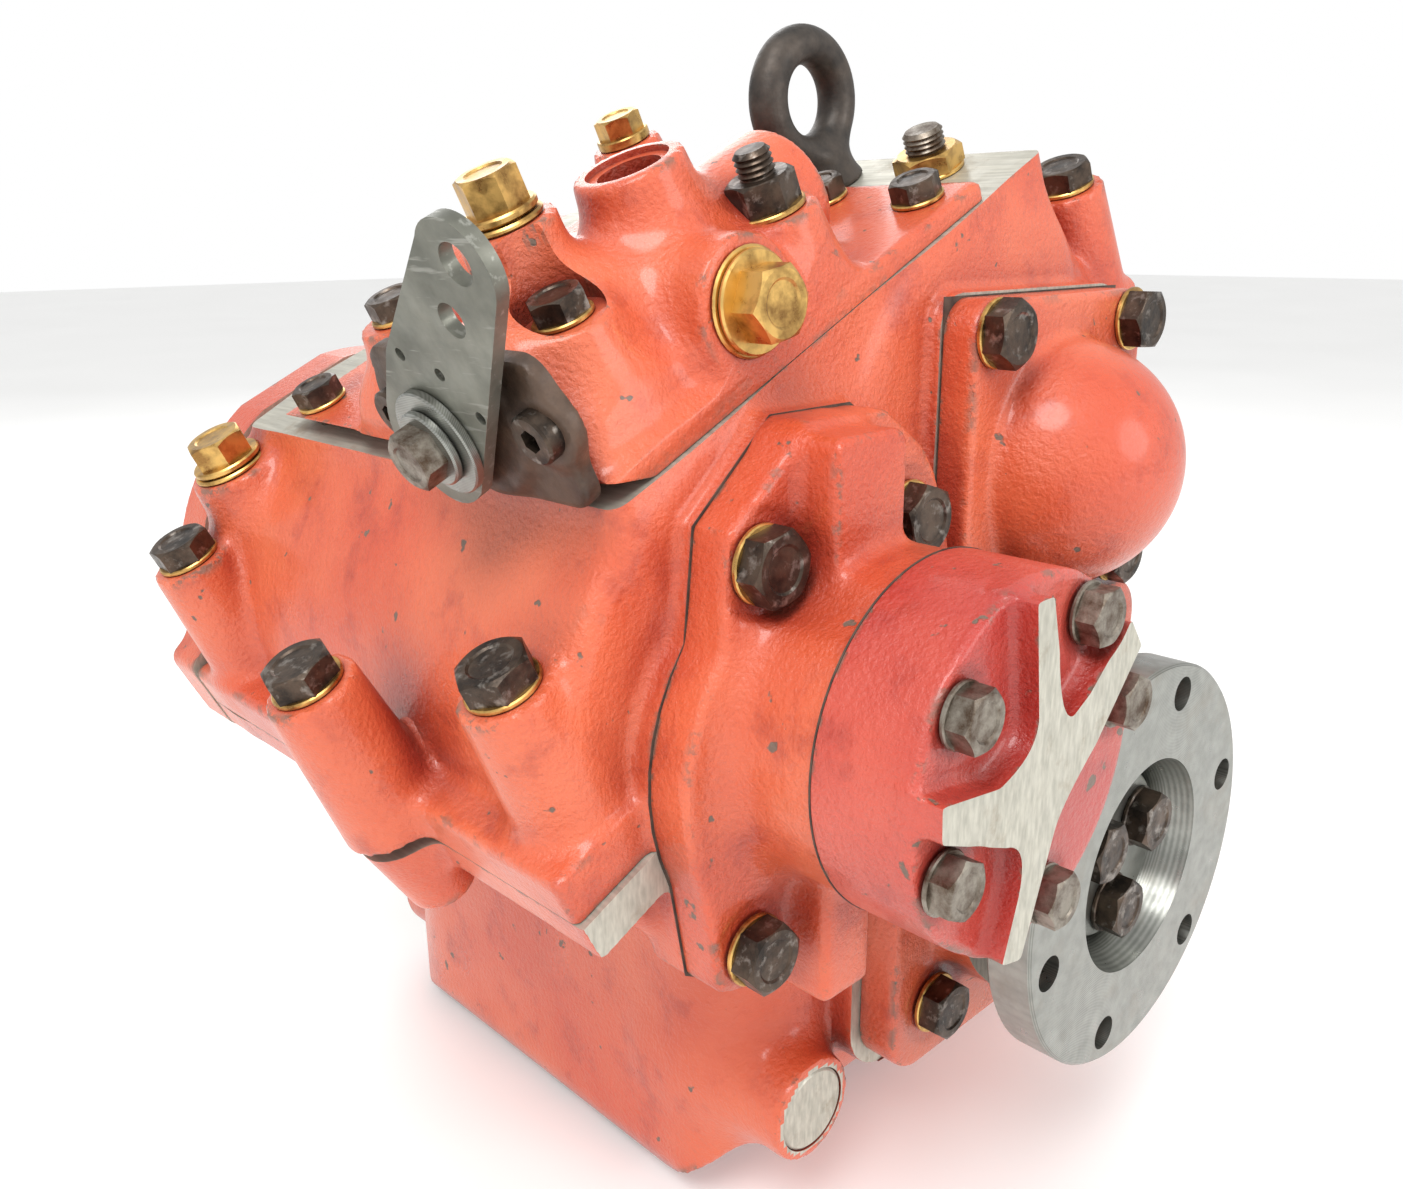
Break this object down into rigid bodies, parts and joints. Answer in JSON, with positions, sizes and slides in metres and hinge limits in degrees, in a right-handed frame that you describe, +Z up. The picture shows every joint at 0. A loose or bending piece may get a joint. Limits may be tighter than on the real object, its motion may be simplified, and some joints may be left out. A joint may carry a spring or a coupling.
{
  "type": "industrial gearbox",
  "caption": "Marine-style reversing reduction gearbox: inclined cast case, clutch shafts, bull gear, output coupling, oil pump, domed cover, selector lever and eyebolt.",
  "frame": {"origin": "bottom centre of the gearbox's bounding box, on the surface it stands on", "axes": "+Z up, +Y from the output coupling towards the engine side, +X to the right seen from the coupling"},
  "size_m": [0.3058, 0.3158, 0.3688],
  "materials": {
    "red_paint": "orange-red enamel over cast iron, cast grain, chips and oil grime near the joints",
    "bolt_steel": "blackened steel bolts, brown oil film, worn corners",
    "eyebolt_iron": "forged eyebolt, dark brown scale",
    "brass": "yellow plated plugs and fittings, scuffed",
    "seal_rubber": "black lip seal",
    "bare_iron": "unpainted brown cast iron",
    "lever_steel": "bare steel plate, scratched",
    "bright_steel": "turned steel, fine rings",
    "gear_steel": "ground gear steel, oiled"
  },
  "bodies": {
    "case": {"breather_plug": "brass", "case_bolt_1": "bolt_steel", "case_bolt_2": "bolt_steel", "case_bolt_3": "bolt_steel", "case_bolt_4": "bolt_steel", "detent_plug": "brass", "dome_bolt_1": "bolt_steel", "dome_bolt_2": "bolt_steel", "dome_bolt_3": "bolt_steel", "dome_bolt_4": "bolt_steel", "dome_cover": "red_paint", "engine_housing": "red_paint", "eyebolt": "eyebolt_iron", "lower_case": "red_paint", "oil_adapter": "brass", "oil_stud": "bolt_steel", "output_bearing": "gear_steel", "output_housing": "red_paint", "output_housing_bolt_1": "bolt_steel", "output_housing_bolt_2": "bolt_steel", "output_housing_bolt_3": "bolt_steel", "output_seal": "seal_rubber", "pump_cover": "red_paint", "pump_cover_bolt_1": "bolt_steel", "pump_cover_bolt_2": "bolt_steel", "pump_cover_bolt_3": "bolt_steel", "pump_cover_bolt_4": "bolt_steel", "pump_cover_bolt_5": "bolt_steel", "pump_flange_bolt_1": "bolt_steel", "pump_flange_bolt_2": "bolt_steel", "pump_flange_bolt_3": "bolt_steel", "pump_housing": "red_paint", "relief_plug": "brass", "strainer_disc": "bright_steel", "top_cover": "red_paint", "top_cover_bolt_1": "bolt_steel", "top_cover_bolt_2": "bolt_steel", "top_cover_bolt_3": "bolt_steel", "top_cover_bolt_4": "bolt_steel", "top_cover_bolt_5": "bolt_steel", "upper_case": "red_paint", "valve_housing": "bare_iron"},
    "output": {"output_shaft": "gear_steel", "bull_gear": "gear_steel", "output_coupling": "bright_steel", "coupling_retainer": "bright_steel", "coupling_bolt_1": "bolt_steel", "coupling_bolt_2": "bolt_steel", "coupling_bolt_3": "bolt_steel"},
    "input": {"input_shaft": "gear_steel", "forward_drum": "gear_steel", "forward_plates": "gear_steel"},
    "forward": {"forward_pinion": "gear_steel"},
    "lay": {"layshaft": "gear_steel", "reverse_drum": "gear_steel", "reverse_plates": "gear_steel"},
    "reverse": {"reverse_pinion": "gear_steel"},
    "idler": {"pump_idler": "gear_steel"},
    "selector": {"selector_lever": "lever_steel", "selector_shaft": "gear_steel"}
  },
  "joints": [
    {"name": "output_spin", "type": "hinge", "parent": "case", "child": "output", "pos_m": [0.05589, -0.03807, 0.12], "axis": [0, 1, 0], "continuous": true},
    {"name": "input_spin", "type": "hinge", "parent": "case", "child": "input", "pos_m": [0.05966, 0.01192, 0.23544], "axis": [0, 1, 0], "continuous": true},
    {"name": "layshaft_spin", "type": "hinge", "parent": "case", "child": "lay", "pos_m": [-0.03741, 0.01192, 0.18809], "axis": [0, 1, 0], "continuous": true},
    {"name": "forward_pinion_spin", "type": "hinge", "parent": "case", "child": "forward", "pos_m": [0.05966, -0.02807, 0.23544], "axis": [0, 1, 0], "continuous": true},
    {"name": "reverse_pinion_spin", "type": "hinge", "parent": "case", "child": "reverse", "pos_m": [-0.03741, -0.02807, 0.18809], "axis": [0, 1, 0], "continuous": true},
    {"name": "pump_idler_spin", "type": "hinge", "parent": "case", "child": "idler", "pos_m": [-0.02421, -0.13007, 0.17049], "axis": [0, 1, 0], "continuous": true},
    {"name": "selector_turn", "type": "hinge", "parent": "case", "child": "selector", "pos_m": [-0.1214, -0.04208, 0.25994], "axis": [-0.8988, 0, -0.4384], "range_deg": [-30, 30]}
  ],
  "couplings": [
    {"joint": "input_spin", "follows": "output_spin", "ratio": -1.9615},
    {"joint": "layshaft_spin", "follows": "output_spin", "ratio": 1.9615},
    {"joint": "forward_pinion_spin", "follows": "output_spin", "ratio": -1.9615},
    {"joint": "reverse_pinion_spin", "follows": "output_spin", "ratio": -1.9615},
    {"joint": "pump_idler_spin", "follows": "output_spin", "ratio": -1.9615}
  ]
}
